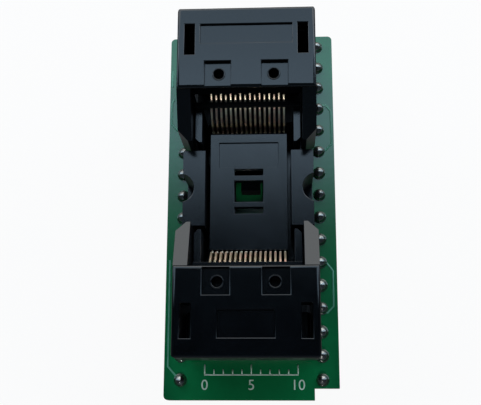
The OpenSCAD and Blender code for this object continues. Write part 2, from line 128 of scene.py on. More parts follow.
class AdapterColours(bpy.types.PropertyGroup):
    """Colours of the finishes"""

    mask: FloatVectorProperty(
        name="Solder mask", description="Green of the solder mask over bare laminate",
        default=(0.0015, 0.115, 0.035), size=3, subtype="COLOR")
    mask_copper: FloatVectorProperty(
        name="Mask over copper", description="Green of the solder mask over a trace",
        default=(0.075, 0.27, 0.17), size=3, subtype="COLOR")
    laminate: FloatVectorProperty(
        name="Laminate", description="Cut edge of the glass-fibre laminate",
        default=(0.20, 0.28, 0.12), size=3, subtype="COLOR")
    cap: FloatVectorProperty(
        name="Cap plastic", description="Moulded plastic of the caps",
        default=(0.0007, 0.0011, 0.0017), size=3, subtype="COLOR")
    socket: FloatVectorProperty(
        name="Socket plastic", description="Moulded plastic of the socket's base, platform and combs",
        default=(0.0020, 0.0028, 0.0040), size=3, subtype="COLOR")
    gold: FloatVectorProperty(
        name="Contact gold", description="Plating of the contacts",
        default=(0.85, 0.76, 0.53), size=3, subtype="COLOR")
    solder: FloatVectorProperty(
        name="Solder", description="Tin solder of the joints",
        default=(0.29, 0.285, 0.265), size=3, subtype="COLOR")
    ink: FloatVectorProperty(
        name="Print", description="Ink of the printed marks",
        default=(0.42, 0.56, 0.47), size=3, subtype="COLOR")


class AdapterStage(bpy.types.PropertyGroup):
    """Camera and light"""

    camera: FloatVectorProperty(
        name="Camera", description="Place of the camera",
        default=(0.003556, -0.0226416, 0.1016779), size=3, subtype="TRANSLATION", unit="LENGTH",
        precision=6)
    target: FloatVectorProperty(
        name="Target", description="Point on the board that the camera looks at",
        default=(-0.001203, 0.000854, 0.0071), size=3, subtype="TRANSLATION", unit="LENGTH",
        precision=6)
    roll: FloatProperty(
        name="Roll", description="Turn of the camera about its line of sight",
        default=math.radians(0.15), subtype="ANGLE")
    lens: FloatProperty(
        name="Lens", description="Focal length for a 36 mm wide sensor, in millimetres",
        default=65.056, min=1.0)
    sky_low: FloatProperty(
        name="Overhead light", description="Level of the light from overhead and from the front",
        default=0.02, min=0.0)
    sky_high: FloatProperty(
        name="Back light", description="Level of the soft light high behind the object",
        default=2.05, min=0.0)
    sky_fall: FloatProperty(
        name="Back light fall", description="How much that light falls towards the horizon",
        default=0.6, min=0.0)
    sky_fill: FloatProperty(
        name="Fill light", description="Level of the dim light from above the camera",
        default=0.05, min=0.0)
    sky_front: FloatProperty(
        name="Front glow", description="Level of the dim light low in front of the object",
        default=0.1, min=0.0)
    key_power: FloatProperty(
        name="Key light", description="Power of the soft lamp behind the object",
        default=0.06, min=0.0, unit="POWER", precision=3)
    side_power: FloatProperty(
        name="Side light", description="Power of each lamp beside the back of the object",
        default=0.004, min=0.0, unit="POWER", precision=3)
    window_power: FloatProperty(
        name="Window light", description="Power of the narrow lamp that looks into the platform's window",
        default=0.5, min=0.0, unit="POWER", precision=3)
    back_row_power: FloatProperty(
        name="Back row light", description="Power of the narrow lamp on the back row of contacts",
        default=0.35, min=0.0, unit="POWER", precision=3)
    front_row_power: FloatProperty(
        name="Front row light", description="Power of the narrow lamp on the front row of contacts",
        default=2.6, min=0.0, unit="POWER", precision=3)
    strip_power: FloatProperty(
        name="Front strip light",
        description="Power of the narrow lamp on the board in front of the front cap",
        default=1.1, min=0.0, unit="POWER", precision=3)


# Meshes

def merged_copy(node):
    """A working copy of a solid's mesh, with its triangles joined into whole faces."""
    bm = bmesh.new()
    bm.from_mesh(frame["nodes"][node].data)
    bmesh.ops.remove_doubles(bm, verts=bm.verts, dist=0.5e-6)
    bmesh.ops.dissolve_degenerate(bm, dist=0.01 * MM, edges=bm.edges)
    bmesh.ops.dissolve_limit(
        bm, angle_limit=math.radians(0.5), use_dissolve_boundaries=False, verts=bm.verts, edges=bm.edges)
    return bm


def sharp_edges(bm, degrees, shortest=0.0):
    """The edges no shorter than this, where two faces meet at more than this angle."""
    limit = math.radians(degrees)
    return [
        edge for edge in bm.edges
        if edge.is_manifold and edge.calc_face_angle() > limit and edge.calc_length() >= shortest]


def round_edges(bm, edges, width, segments=2, clamp=True):
    """Rounds these edges off, as a mould or a die does."""
    bmesh.ops.bevel(
        bm, geom=edges, offset=width, offset_type="OFFSET", affect="EDGES", segments=segments,
        profile=0.5, clamp_overlap=clamp, material=-1)


def finished_piece(name, bm, finish, body, stands_for=(), crease=None):
    """Makes a finished piece of a bmesh and lets it ride on its body."""
    mesh = bpy.data.meshes.new(name)
    bm.to_mesh(mesh)
    bm.free()
    return dressed_piece(name, mesh, finish, body, stands_for, crease)


def dressed_piece(name, mesh, finish, body, stands_for=(), crease=None):
    """Makes a finished piece of a mesh, smooth up to a crease, and lets it ride on its body."""
    mesh.shade_smooth()
    if crease is not None:
        mesh.set_sharp_from_angle(angle=math.radians(crease))
    mesh.materials.clear()
    mesh.materials.append(finish)
    piece = bpy.data.objects.new(name, mesh)
    bpy.context.collection.objects.link(piece)
    even = piece.modifiers.new("Even shading", "WEIGHTED_NORMAL")
    even.weight = 90
    even.keep_sharp = crease is not None
    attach(piece, body)
    if stands_for:
        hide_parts(*stands_for)
    return piece


def rounded_piece(name, node, finish, width, degrees=28, crease=MOULD_CREASE):
    """A solid with its sharp edges rounded off, in place of the solid."""
    bm = merged_copy(node)
    round_edges(bm, sharp_edges(bm, degrees), width)
    return finished_piece(name, bm, finish, BODY_OF[node], (node,), crease)


def curve_mesh(name, curve):
    """The mesh of a curve, which is then deleted."""
    carrier = bpy.data.objects.new(name, curve)
    bpy.context.collection.objects.link(carrier)
    shape = carrier.evaluated_get(bpy.context.evaluated_depsgraph_get())
    mesh = bpy.data.meshes.new_from_object(shape)
    bpy.data.objects.remove(carrier)
    bpy.data.curves.remove(curve)
    return mesh


def ribbon_mesh(name, routes, width, height, z):
    """Low rounded ribbons along routes of (x, y) points at one height."""
    curve = bpy.data.curves.new(name, "CURVE")
    curve.dimensions = "3D"
    curve.bevel_depth = width / 2
    curve.bevel_resolution = 1
    curve.use_fill_caps = True
    for route in routes:
        spline = curve.splines.new("POLY")
        spline.points.add(len(route) - 1)
        for point, (x, y) in zip(spline.points, route):
            point.co = (x, y, 0, 1)
    mesh = curve_mesh(name, curve)
    mesh.transform(Matrix.Translation((0, 0, z)) @ Matrix.Diagonal((1, 1, 2 * height / width, 1)))
    return mesh


def joint_places(side):
    """Centres of one row's solder joints on the board's top, from the back."""
    low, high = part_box(side + "_solder_joints")
    radius, middle = (high.x - low.x) / 2, (low.x + high.x) / 2
    first, last = high.y - radius, low.y + radius
    return [
        Vector((middle, first + (last - first) * i / (PIN_COUNT - 1), low.z)) for i in range(PIN_COUNT)]


def on_board(x, y):
    """A point of the board's top from the socket's middle, in millimetres."""
    return (x * MM, SOCKET_Y + y * MM)


# Shader groups

def new_group(name, inputs, outputs):
    """An empty shader group with named float sockets."""
    group = bpy.data.node_groups.new(name, "ShaderNodeTree")
    for label, default in inputs:
        socket = group.interface.new_socket(label, in_out="INPUT", socket_type="NodeSocketFloat")
        socket.default_value = default
    for label in outputs:
        group.interface.new_socket(label, in_out="OUTPUT", socket_type="NodeSocketFloat")
    return group, group.nodes.new("NodeGroupInput"), group.nodes.new("NodeGroupOutput")


def noise_texture(tree, scale=None, detail=2.0, roughness=0.5):
    """Noise on Object coordinates."""
    place = tree.nodes.new("ShaderNodeTexCoord")
    texture = tree.nodes.new("ShaderNodeTexNoise")
    texture.inputs["Detail"].default_value = detail
    texture.inputs["Roughness"].default_value = roughness
    if scale is not None:
        texture.inputs["Scale"].default_value = scale
    tree.links.new(place.outputs["Object"], texture.inputs["Vector"])
    return texture


def remap(tree, socket, low, high, to_low=0.0, to_high=1.0):
    """Stretches a value from one span to another."""
    node = tree.nodes.new("ShaderNodeMapRange")
    node.inputs["From Min"].default_value = low
    node.inputs["From Max"].default_value = high
    node.inputs["To Min"].default_value = to_low
    node.inputs["To Max"].default_value = to_high
    tree.links.new(socket, node.inputs["Value"])
    return node.outputs["Result"]


def math_node(tree, operation, first, second):
    """A sum, product or comparison of two values, each a socket or a number."""
    node = tree.nodes.new("ShaderNodeMath")
    node.operation = operation
    for slot, value in zip(node.inputs, (first, second)):
        if isinstance(value, (int, float)):
            slot.default_value = value
        else:
            tree.links.new(value, slot)
    return node.outputs["Value"]


def grain_group():
    """Moulded grain: fine height, scattered flecks and slow clouds."""
    if "Moulded grain" in bpy.data.node_groups:
        return bpy.data.node_groups["Moulded grain"]
    group, given, result = new_group(
        "Moulded grain", (("Grain", 9000.0), ("Flecks", 5200.0), ("Clouds", 320.0)),
        ("Height", "Fleck", "Cloud"))
    fine = noise_texture(group, detail=3.0, roughness=0.65)
    group.links.new(given.outputs["Grain"], fine.inputs["Scale"])
    fleck = noise_texture(group, detail=1.0)
    group.links.new(given.outputs["Flecks"], fleck.inputs["Scale"])
    cloud = noise_texture(group, detail=4.0, roughness=0.6)
    group.links.new(given.outputs["Clouds"], cloud.inputs["Scale"])
    group.links.new(fine.outputs["Fac"], result.inputs["Height"])
    group.links.new(remap(group, fleck.outputs["Fac"], 0.52, 0.74), result.inputs["Fleck"])
    group.links.new(remap(group, cloud.outputs["Fac"], 0.3, 0.7), result.inputs["Cloud"])
    return group


def metal_group():
    """Uneven metal: fine height and patches of tarnish."""
    if "Uneven metal" in bpy.data.node_groups:
        return bpy.data.node_groups["Uneven metal"]
    group, given, result = new_group(
        "Uneven metal", (("Fine", 6000.0), ("Tarnish", 1400.0)), ("Height", "Tarnish"))
    fine = noise_texture(group, detail=3.0, roughness=0.6)
    group.links.new(given.outputs["Fine"], fine.inputs["Scale"])
    tarnish = noise_texture(group, detail=3.0, roughness=0.55)
    group.links.new(given.outputs["Tarnish"], tarnish.inputs["Scale"])
    group.links.new(fine.outputs["Fac"], result.inputs["Height"])
    group.links.new(remap(group, tarnish.outputs["Fac"], 0.38, 0.68), result.inputs["Tarnish"])
    return group


def wall_group():
    """Upright walls: a mask that is 0 on level faces and 1 on walls."""
    if "Upright walls" in bpy.data.node_groups:
        return bpy.data.node_groups["Upright walls"]
    group, given, result = new_group("Upright walls", (("Level", 0.88), ("Upright", 0.45)), ("Wall",))
    place = group.nodes.new("ShaderNodeTexCoord")
    axes = group.nodes.new("ShaderNodeSeparateXYZ")
    group.links.new(place.outputs["Normal"], axes.inputs["Vector"])
    slope = group.nodes.new("ShaderNodeMapRange")
    group.links.new(math_node(group, "ABSOLUTE", axes.outputs["Z"], 0.0), slope.inputs["Value"])
    group.links.new(given.outputs["Level"], slope.inputs["From Min"])
    group.links.new(given.outputs["Upright"], slope.inputs["From Max"])
    group.links.new(slope.outputs["Result"], result.inputs["Wall"])
    return group


# Finishes

def new_finish(name):
    """A fresh material and its principled shader."""
    material = bpy.data.materials.new(name)
    material.use_nodes = True
    return material, material.node_tree, material.node_tree.nodes["Principled BSDF"]


def place_group(tree, group, **inputs):
    """A shader group in a material, with its own values."""
    node = tree.nodes.new("ShaderNodeGroup")
    node.node_tree = group
    for label, value in inputs.items():
        node.inputs[label].default_value = value
    return node


def blend_colours(tree, mask, first, second):
    """A colour that goes from the first to the second as the mask rises."""
    node = tree.nodes.new("ShaderNodeMix")
    node.data_type = "RGBA"
    for label, value in (("A", first), ("B", second)):
        socket = next(s for s in node.inputs if s.name == label and s.type == "RGBA")
        if isinstance(value, bpy.types.NodeSocket):
            tree.links.new(value, socket)
        else:
            socket.default_value = (*value, 1.0)
    tree.links.new(mask, node.inputs["Factor"])
    return next(s for s in node.outputs if s.type == "RGBA")


def add_bump(tree, shader, height, strength, distance):
    """Lets a height disturb the shader's normal."""
    node = tree.nodes.new("ShaderNodeBump")
    node.inputs["Strength"].default_value = strength
    node.inputs["Distance"].default_value = distance
    tree.links.new(height, node.inputs["Height"])
    tree.links.new(node.outputs["Normal"], shader.inputs["Normal"])


def scaled(colour, factor):
    """A colour made lighter or darker."""
    return tuple(channel * factor for channel in colour)


def plastic_finish(name, colour, smooth, rough, bump, wall_rough=0.42, matt_below=None):
    """Black moulded plastic with a fine spark-eroded grain, matt on its walls and low under the caps."""
    low_wall_rough, caps_begin = 0.9, 6 * MM
    material, tree, shader = new_finish(name)
    group = place_group(tree, grain_group())
    clouded = blend_colours(tree, group.outputs["Cloud"], scaled(colour, 0.85), scaled(colour, 1.2))
    flecked = blend_colours(tree, group.outputs["Fleck"], clouded, scaled(colour, 2.6))
    tree.links.new(flecked, shader.inputs["Base Color"])
    polish = remap(tree, group.outputs["Cloud"], 0.0, 1.0, smooth, rough)
    wall = place_group(tree, wall_group()).outputs["Wall"]
    matt = math_node(tree, "MULTIPLY", wall, wall_rough)
    if matt_below is not None:
        place = tree.nodes.new("ShaderNodeTexCoord")
        axes = tree.nodes.new("ShaderNodeSeparateXYZ")
        tree.links.new(place.outputs["Object"], axes.inputs["Vector"])
        low = math_node(tree, "LESS_THAN", axes.outputs["Z"], matt_below)
        from_middle = math_node(tree, "SUBTRACT", axes.outputs["Y"], SOCKET_Y)
        reach = math_node(tree, "ABSOLUTE", from_middle, 0.0)
        under_cap = math_node(tree, "GREATER_THAN", reach, caps_begin)
        dull = math_node(
            tree, "MAXIMUM", math_node(tree, "MULTIPLY", wall, low_wall_rough),
            math_node(tree, "MULTIPLY", under_cap, wall_rough))
        matt = math_node(tree, "MAXIMUM", matt, math_node(tree, "MULTIPLY", low, dull))
    tree.links.new(math_node(tree, "MAXIMUM", polish, matt), shader.inputs["Roughness"])
    add_bump(tree, shader, group.outputs["Height"], bump, 0.00004)
    return material


def metal_finish(name, bright, dull, smooth, rough, bump):
    """Plated or soldered metal with patches of tarnish."""
    material, tree, shader = new_finish(name)
    group = place_group(tree, metal_group())
    tree.links.new(blend_colours(tree, group.outputs["Tarnish"], bright, dull), shader.inputs["Base Color"])
    tree.links.new(
        remap(tree, group.outputs["Tarnish"], 0.0, 1.0, smooth, rough), shader.inputs["Roughness"])
    shader.inputs["Metallic"].default_value = 1.0
    add_bump(tree, shader, group.outputs["Height"], bump, 0.00002)
    return material


def mask_finish(colours):
    """Solder mask on the board's faces, glass-fibre laminate on its cut edges."""
    material, tree, shader = new_finish("solder_mask")
    group = place_group(tree, grain_group(), Grain=2600.0, Flecks=1500.0, Clouds=160.0)
    green = blend_colours(
        tree, group.outputs["Cloud"], scaled(colours.mask, 0.85), scaled(colours.mask, 1.18))
    place = tree.nodes.new("ShaderNodeTexCoord")
    axes = tree.nodes.new("ShaderNodeSeparateXYZ")
    tree.links.new(place.outputs["Object"], axes.inputs["Vector"])
    middle, half = (BOARD_LOW.z + BOARD_HIGH.z) / 2, (BOARD_HIGH.z - BOARD_LOW.z) / 2
    depth = math_node(tree, "ABSOLUTE", math_node(tree, "SUBTRACT", axes.outputs["Z"], middle), 0.0)
    on_face = math_node(tree, "GREATER_THAN", depth, half - 0.04 * MM)
    core = blend_colours(
        tree, group.outputs["Fleck"], scaled(colours.laminate, 0.7), scaled(colours.laminate, 1.25))
    tree.links.new(blend_colours(tree, on_face, core, green), shader.inputs["Base Color"])
    tree.links.new(remap(tree, on_face, 0.0, 1.0, 0.75, 0.16), shader.inputs["Roughness"])
    shader.inputs["Specular IOR Level"].default_value = 0.7
    add_bump(tree, shader, group.outputs["Height"], 0.12, 0.00003)
    return material


def coated_finish(name, colour, rough):
    """A thin coat of mask or ink with a slightly uneven colour."""
    material, tree, shader = new_finish(name)
    group = place_group(tree, grain_group(), Grain=7000.0, Clouds=900.0)
    tree.links.new(
        blend_colours(tree, group.outputs["Cloud"], scaled(colour, 0.78), scaled(colour, 1.15)),
        shader.inputs["Base Color"])
    tree.links.new(
        remap(tree, group.outputs["Fleck"], 0.0, 1.0, rough, rough + 0.1), shader.inputs["Roughness"])
    add_bump(tree, shader, group.outputs["Height"], 0.15, 0.00001)
    return material


def finish(name):
    """The material of that name, made on first use."""
    found = bpy.data.materials.get(name)
    if found is not None:
        if found.get("adapter_finish"):
            return found
        found.name = name + "_solid"
    made = FINISHES[name](bpy.context.scene.adapter_colours)
    made.name = name
    made["adapter_finish"] = True
    return made


FINISHES = {
    "solder_mask": mask_finish,
    "mask_over_copper": lambda c: coated_finish("mask_over_copper", c.mask_copper, 0.32),
    "print_ink": lambda c: coated_finish("print_ink", c.ink, 0.6),
    "cap_plastic": lambda c: plastic_finish("cap_plastic", c.cap, 0.11, 0.15, 0.1, 0.3),
    "socket_plastic": lambda c: plastic_finish(
        "socket_plastic", c.socket, 0.11, 0.16, 0.1, matt_below=BOARD_HIGH.z + 2.5 * MM),
    "strip_plastic": lambda c: plastic_finish("strip_plastic", scaled(c.socket, 0.9), 0.34, 0.44, 0.2),
    "contact_gold": lambda c: metal_finish(
        "contact_gold", c.gold, (0.72, 0.44, 0.35), 0.28, 0.38, 0.12),
    "pin_metal": lambda c: metal_finish(
        "pin_metal", scaled(c.gold, 0.95), scaled(c.gold, 0.75), 0.22, 0.34, 0.1),
    "solder": lambda c: metal_finish("solder", c.solder, scaled(c.solder, 0.5), 0.18, 0.34, 0.3),
    "spring_steel": lambda c: metal_finish(
        "spring_steel", (0.55, 0.56, 0.58), (0.40, 0.40, 0.41), 0.22, 0.34, 0.1),
}


# Operators

class DressBoard(bpy.types.Operator):
    """Gives the board its mask, its traces and its printed scale"""

    bl_idname = "adapter.dress_board"
    bl_label = "Board"

    def execute(self, context):
        board = frame["nodes"]["circuit_board"]
        board.data.materials.clear()
        board.data.materials.append(finish("solder_mask"))
        self.lay_traces(context.scene.adapter_sizes)
        self.print_scale(context.scene.adapter_sizes)
        return {"FINISHED"}

    def lay_traces(self, sizes):
        top = [
            [(-8.9, 12.9), (-9.15, 12.4), (-9.15, 9.9), (-8.5, 9.1), (-7.62, 8.89)],
            [(-9.15, 16.4), (-9.15, 14.4)],
            [(7.0, 11.9), (8.5, 11.9), (9.1, 11.2), (9.1, 7.2), (8.25, 6.35), (7.62, 6.35)],
            [(6.9, 3.5), (7.62, 3.81)],
            [(7.62, -6.35), (8.3, -6.45), (8.95, -7.3), (8.95, -11.2), (8.3, -11.9), (7.0, -11.95)],
            [(-9.0, -6.0), (-9.0, -17.6), (-8.2, -18.5), (-7.62, -19.05)],
        ]
        mesh = ribbon_mesh(
            "top_traces", [[on_board(*point) for point in route] for route in top],
            sizes.trace_width, sizes.trace_height, BOARD_HIGH.z)
        dressed_piece("top_traces", mesh, finish("mask_over_copper"), "adapter")
        mesh = ribbon_mesh(
            "under_traces", self.fan_out(), sizes.trace_width * 1.3, sizes.trace_height, BOARD_LOW.z)
        dressed_piece("under_traces", mesh, finish("mask_over_copper"), "adapter")

    def fan_out(self):
        """Routes under the board from the contact tails to the pins, turned at 45 degrees."""
        routes = []
        tails_x = [(i - (CONTACT_COUNT - 1) / 2) * CONTACT_PITCH for i in range(CONTACT_COUNT)]
        for end in (1, -1):
            for side in (1, -1):
                for first, tail in enumerate((NEAR_TAIL, FAR_TAIL)):
                    half_row = [x for x in tails_x[first::2] if x * side > 0]
                    routes += self.bent_routes(half_row, tail, end, side)
        return [[on_board(*point) for point in route] for route in routes]

    def bent_routes(self, tails, tail_u, end, side):
        """Nested routes of one half row: the outermost tail goes to the nearest pin of its group."""
        pins, longest_turn = [3, 2, 1, 0] if tail_u == FAR_TAIL else [4, 5, 6, 7], 0.6
        routes = []
        for x, pin in zip(sorted(tails, key=abs, reverse=True), pins):
            pin_u = BACK_PIN - pin * PIN_PITCH
            turn = min(longest_turn, abs(pin_u - tail_u) / 2)
            step = turn if pin_u > tail_u else -turn
            routes.append([
                (x, end * tail_u), (x, end * (pin_u - step)),
                (x + side * turn, end * pin_u), (side * PIN_ROW, end * pin_u)])
        return routes

    def print_scale(self, sizes):
        """A plain printed scale of ten millimetres, with its digits."""
        line, long_mark, short_mark = 0.13, 1.1, 0.6
        base_y, digits_y, half_scale = -18.5, -19.6, 5
        bm = bmesh.new()
        for mark in range(2 * half_scale + 1):
            length = long_mark if mark % half_scale == 0 else short_mark
            self.print_line(bm, (mark - half_scale, base_y + length / 2), (line, length), sizes.print_height)
        self.print_line(bm, (0, base_y), (2 * half_scale + line, line), sizes.print_height)
        for mark in (0, half_scale, 2 * half_scale):
            curve = bpy.data.curves.new("digits", "FONT")
            curve.body = str(mark)
            curve.size = sizes.digit_height * 1.4
            curve.align_x = "CENTER"
            curve.align_y = "CENTER"
            curve.extrude = sizes.print_height
            mesh = curve_mesh("digits", curve)
            mesh.transform(Matrix.Translation((*on_board(mark - half_scale, digits_y), BOARD_HIGH.z)))
            bm.from_mesh(mesh)
            bpy.data.meshes.remove(mesh)
        finished_piece("printed_scale", bm, finish("print_ink"), "adapter")

    def print_line(self, bm, middle, size, height):
        """A straight printed line on the board's top, its middle and size in millimetres."""
        place = Matrix.Translation((*on_board(*middle), BOARD_HIGH.z))
        spread = Matrix.Diagonal((size[0] * MM, size[1] * MM, 2 * height, 1))
        bmesh.ops.create_cube(bm, size=1.0, matrix=place @ spread)


class SolderPins(bpy.types.Operator):
    """Sets the pin strips, the pins and the solder joints"""

    bl_idname = "adapter.solder_pins"
    bl_label = "Pins and solder"

    def execute(self, context):
        sizes = context.scene.adapter_sizes
        chance = random.Random(sizes.solder_seed)
        for side in SIDES:
            rounded_piece(
                side + "_strip_moulding", side + "_pin_strip", finish("strip_plastic"), sizes.strip_edge)
            pins = frame["nodes"][side + "_pins"]
            pins.data.materials.clear()
            pins.data.materials.append(finish("pin_metal"))
            self.solder_row(side, chance)
        for end in ENDS:
            tails = frame["nodes"][end + "_tail_solder"]
            tails.data.materials.clear()
            tails.data.materials.append(finish("solder"))
        return {"FINISHED"}

    def joint_mesh(self):
        """One joint: a wetted foot, a swelling dome and the pin's rounded tip."""
        profile = [
            (0.75, 0.0), (0.745, 0.03), (0.69, 0.075), (0.645, 0.14), (0.625, 0.24), (0.60, 0.36),
            (0.55, 0.49), (0.46, 0.61), (0.34, 0.70), (0.25, 0.745), (0.22, 0.78), (0.15, 0.81), (0.0, 0.82)]
        bm = bmesh.new()
        points = [bm.verts.new((r * MM, 0, z * MM)) for r, z in profile]
        edges = [bm.edges.new(pair) for pair in zip(points, points[1:])]
        bmesh.ops.spin(
            bm, geom=points + edges, cent=(0, 0, 0), axis=(0, 0, 1), angle=math.tau, steps=28, use_merge=True)
        bmesh.ops.remove_doubles(bm, verts=bm.verts, dist=1e-6)
        bmesh.ops.holes_fill(bm, edges=[edge for edge in bm.edges if edge.is_boundary], sides=0)
        bmesh.ops.recalc_face_normals(bm, faces=bm.faces)
        mesh = bpy.data.meshes.new("solder_joint")
        bm.to_mesh(mesh)
        bm.free()
        return mesh

    def solder_row(self, side, chance):
        joint = self.joint_mesh()
        bm = bmesh.new()
        for place in joint_places(side):
            before = set(bm.verts)
            bm.from_mesh(joint)
            new = [vert for vert in bm.verts if vert not in before]
            wide, tall = chance.uniform(0.93, 1.0), chance.uniform(0.88, 1.0)
            lean = Matrix.Identity(4)
            lean[0][2], lean[1][2] = chance.uniform(-0.14, 0.14), chance.uniform(-0.14, 0.14)
            turn = Matrix.Rotation(chance.uniform(0, math.tau), 4, "Z")
            spread = Matrix.Diagonal((wide, wide * 0.97, tall, 1))
            bmesh.ops.transform(bm, verts=new, matrix=Matrix.Translation(place) @ lean @ turn @ spread)
        bpy.data.meshes.remove(joint)
        node = side + "_solder_joints"
        finished_piece(side + "_joints", bm, finish("solder"), BODY_OF[node], (node,))


class MouldSocket(bpy.types.Operator):
    """Rounds the mouldings of the socket: base, chip platform and contact combs"""

    bl_idname = "adapter.mould_socket"
    bl_label = "Socket mouldings"

    def execute(self, context):
        width = context.scene.adapter_sizes.socket_edge
        plastic = finish("socket_plastic")
        rounded_piece("base_moulding", "socket_base", plastic, width)
        rounded_piece("platform_moulding", "chip_platform", plastic, width)
        for end in ENDS:
            rounded_piece(end + "_comb_moulding", end + "_contact_comb", plastic, width * 0.6)
        return {"FINISHED"}


class MouldCaps(bpy.types.Operator):
    """Rounds the mouldings of the two press caps and sets the rings of their eye holes"""

    bl_idname = "adapter.mould_caps"
    bl_label = "Press caps"

    def execute(self, context):
        sizes = context.scene.adapter_sizes
        for end in ENDS:
            node = end + "_cap"
            bm = merged_copy(node)
            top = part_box(node)[1].z
            openings = [
                edge for edge in sharp_edges(bm, 28, 2 * sizes.cap_opening_edge)
                if all(top - vert.co.z < 0.001 * MM for vert in edge.verts)]
            round_edges(bm, openings, sizes.cap_opening_edge, 4, clamp=False)
            round_edges(bm, sharp_edges(bm, 40), sizes.cap_edge)
            finished_piece(
                end + "_cap_moulding", bm, finish("cap_plastic"), BODY_OF[node], (node,),
                MOULD_CREASE)
            self.ring_eyes(end, sizes.eye_rim)
            self.turn_corners(end, sizes.cap_edge)
        return {"FINISHED"}

    def turn_corners(self, end, edge):
        """Narrow lips at a cap's open end, where its side walls turn inward over the base's end wall."""
        low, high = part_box(end + "_cap")
        outward = 1 if end == "back" else -1
        end_y = high.y if end == "back" else low.y
        wall, lip_width, lip_thickness, rim_height = 0.75 * MM, 1.35 * MM, 0.2 * MM, 3.4 * MM
        top = high.z - rim_height
        bm = bmesh.new()
        for side in (-1, 1):
            middle = Vector((
                side * (high.x - lip_width / 2), end_y - outward * (wall - lip_thickness / 2),
                (low.z + top) / 2))
            spread = Matrix.Diagonal((lip_width, lip_thickness, top - low.z, 1))
            bmesh.ops.create_cube(bm, size=1.0, matrix=Matrix.Translation(middle) @ spread)
        round_edges(bm, bm.edges[:], edge)
        finished_piece(
            end + "_corner_lips", bm, finish("cap_plastic"), BODY_OF[end + "_cap"],
            crease=MOULD_CREASE)

    def ring_eyes(self, end, rim):
        """A low raised ring round each eye hole, in its pocket."""
        low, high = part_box(end + "_cap")
        eye_x, eye_from_end, pocket_depth, ring_radius = 2.76 * MM, 7.12 * MM, 0.48 * MM, 0.6 * MM
        y = high.y - eye_from_end if end == "back" else low.y + eye_from_end
        floor = high.z - pocket_depth
        upright = Matrix.Rotation(math.pi / 2, 4, "X")
        bm = bmesh.new()
        for x in (-eye_x, eye_x):
            place = Matrix.Translation((x + ring_radius, y, floor))
            ring = bmesh.ops.create_circle(
                bm, cap_ends=False, radius=rim, segments=8, matrix=place @ upright)
            edges = list(dict.fromkeys(edge for vert in ring["verts"] for edge in vert.link_edges))
            bmesh.ops.spin(
                bm, geom=ring["verts"] + edges, cent=(x, y, 0), axis=(0, 0, 1), angle=math.tau, steps=36,
                use_merge=True)
        bmesh.ops.remove_doubles(bm, verts=bm.verts, dist=1e-6)
        bmesh.ops.recalc_face_normals(bm, faces=bm.faces)
        finished_piece(end + "_eye_rings", bm, finish("cap_plastic"), BODY_OF[end + "_cap"])


class StampContacts(bpy.types.Operator):
    """Rounds the stamped contacts: swinging arms and fixed lower contacts"""

    bl_idname = "adapter.stamp_contacts"
    bl_label = "Contacts"

    def execute(self, context):
        sizes = context.scene.adapter_sizes
        for end in ENDS:
            node = end + "_contact_arms"
            bm = merged_copy(node)
            across = [edge for edge in sharp_edges(bm, 15) if self.is_bend(edge)]
            round_edges(bm, across, sizes.contact_bend, 3)
            round_edges(bm, sharp_edges(bm, 50), sizes.contact_edge)
            finished_piece(end + "_arms", bm, finish("contact_gold"), BODY_OF[node], (node,))
            rounded_piece(
                end + "_seats", end + "_lower_contacts", finish("contact_gold"), sizes.contact_edge,
                degrees=50, crease=None)
        return {"FINISHED"}

    def is_bend(self, edge):
        """Whether an edge lies across the strip and clear above the nose."""
        run = edge.verts[0].co - edge.verts[1].co
        return abs(run.x) > 0.99 * run.length and edge.verts[0].co.z > PLATFORM_HIGH.z + 0.5 * MM


class WindSprings(bpy.types.Operator):
    """Winds the four return springs of round wire"""

    bl_idname = "adapter.wind_springs"
    bl_label = "Springs"

    def execute(self, context):
        for end in ENDS:
            for side in SIDES:
                self.wind(end, side)
        return {"FINISHED"}

    def wind(self, end, side):
        node = f"{end}_{side}_spring"
        low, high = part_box(node)
        wire, turns, steps = 0.32 * MM, 7, 32
        radius = (high.x - low.x - wire) / 2
        middle = (low + high) / 2
        rise = high.z - low.z - 3 * wire
        curve = bpy.data.curves.new(node, "CURVE")
        curve.dimensions = "3D"
        curve.bevel_depth = wire / 2
        curve.bevel_resolution = 3
        curve.use_fill_caps = True
        spline = curve.splines.new("POLY")
        spline.points.add(turns * steps)
        for i, point in enumerate(spline.points):
            turn = i / steps
            closed = min(turn, 1.0) + max(turn - (turns - 1), 0.0)
            lift = wire * (0.5 + closed) + rise * min(max(turn - 1, 0.0), turns - 2.0) / (turns - 2)
            point.co = (
                middle.x + radius * math.cos(math.tau * turn), middle.y + radius * math.sin(math.tau * turn),
                low.z + lift, 1)
        mesh = curve_mesh(node, curve)
        piece = dressed_piece(
            f"{end}_{side}_coil", mesh, finish("spring_steel"), BODY_OF[node], (node,))
        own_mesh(piece)


